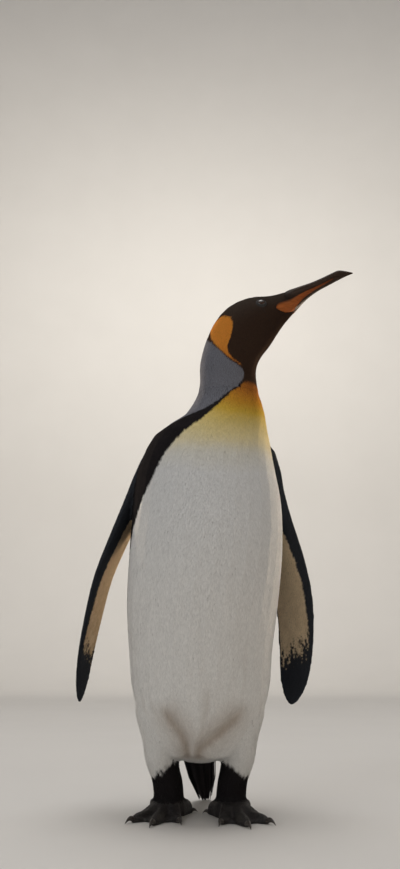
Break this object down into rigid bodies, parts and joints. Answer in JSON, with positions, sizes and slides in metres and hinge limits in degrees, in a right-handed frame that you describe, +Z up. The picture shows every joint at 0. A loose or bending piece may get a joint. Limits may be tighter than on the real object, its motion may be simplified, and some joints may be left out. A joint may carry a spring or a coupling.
{
  "type": "king penguin",
  "caption": "Life-size king penguin model, standing upright with its bill raised and its head turned to its left, flippers held off the body.",
  "frame": {"origin": "on the floor, under the centre of the whole model's bounding box", "axes": "+Z up, the breast and toes face -Y, the bird's own left side is +X, and the bill points towards +X"},
  "size_m": [0.4296, 0.276, 0.8171],
  "materials": {
    "white_plumage": "silky short plumage, white with an orange to yellow upper breast",
    "slate_plumage": "short blue-grey plumage of the back, nape and upper side of the flippers",
    "dark_plumage": "short brown-black plumage of the head and tail, with an orange patch behind each eye",
    "foot_skin": "black scaled skin",
    "bill_horn": "smooth dark horn with an orange plate along each side of the lower mandible",
    "claw_horn": "black horn",
    "eye": "wet brown iris round a black pupil"
  },
  "bodies": {
    "root": {"trunk": "white_plumage", "neck": "slate_plumage", "head": "dark_plumage", "tail": "dark_plumage", "flipper_left": "slate_plumage", "flipper_right": "slate_plumage", "leg_left": "white_plumage", "leg_right": "white_plumage", "foot_left": "foot_skin", "foot_right": "foot_skin", "eye_left": "eye", "eye_right": "eye", "bill_upper": "bill_horn", "bill_lower": "bill_horn", "claw_inner_left": "claw_horn", "claw_middle_left": "claw_horn", "claw_outer_left": "claw_horn", "claw_hind_left": "claw_horn", "claw_inner_right": "claw_horn", "claw_middle_right": "claw_horn", "claw_outer_right": "claw_horn", "claw_hind_right": "claw_horn"}
  },
  "joints": []
}
